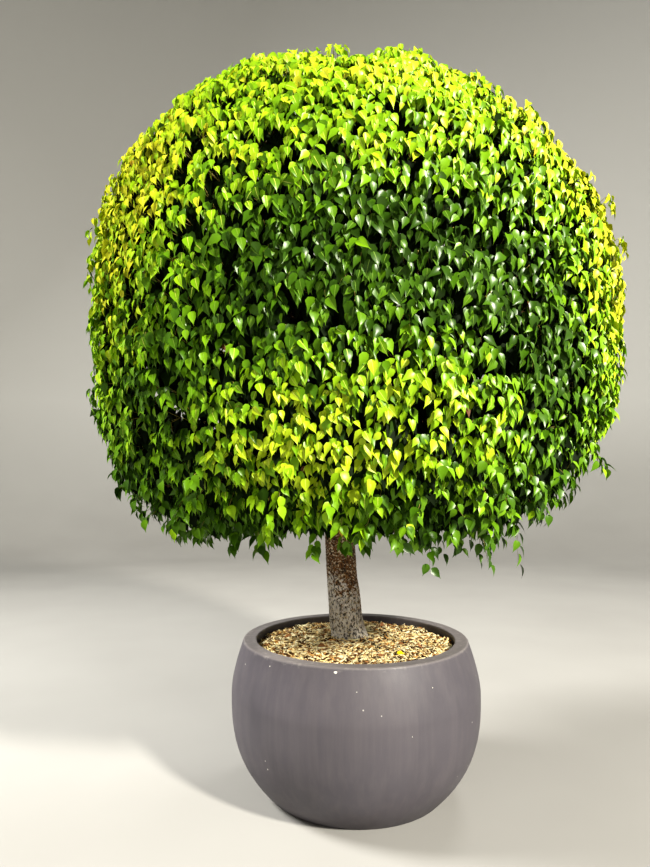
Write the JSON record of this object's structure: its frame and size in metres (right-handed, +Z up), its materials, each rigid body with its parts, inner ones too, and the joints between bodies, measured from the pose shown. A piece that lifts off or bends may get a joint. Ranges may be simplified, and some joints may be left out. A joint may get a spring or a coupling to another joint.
{
  "type": "standard weeping fig topiary in a round pot",
  "caption": "Weeping fig clipped to one big round head on a clear, slightly leaning stem, planted and mulched in a wide round-bellied planter with a flat lip.",
  "frame": {"origin": "on the ground, at the centre of the pot's flat underside", "axes": "+Z up, -Y towards the side the tree is usually seen from, +X to that viewer's right"},
  "size_m": [2.7193, 2.7061, 3.7045],
  "materials": {
    "pot": "matte",
    "potting_mix": "matte",
    "mulch": "matte",
    "bark": "matte",
    "foliage": "satin"
  },
  "bodies": {
    "root": {"pot": "pot", "potting_mix": "potting_mix", "mulch": "mulch", "trunk": "bark", "bough_front_left": "bark", "bough_front_right": "bark", "bough_right": "bark", "bough_back": "bark", "bough_left": "bark", "crown": "foliage"}
  },
  "joints": []
}
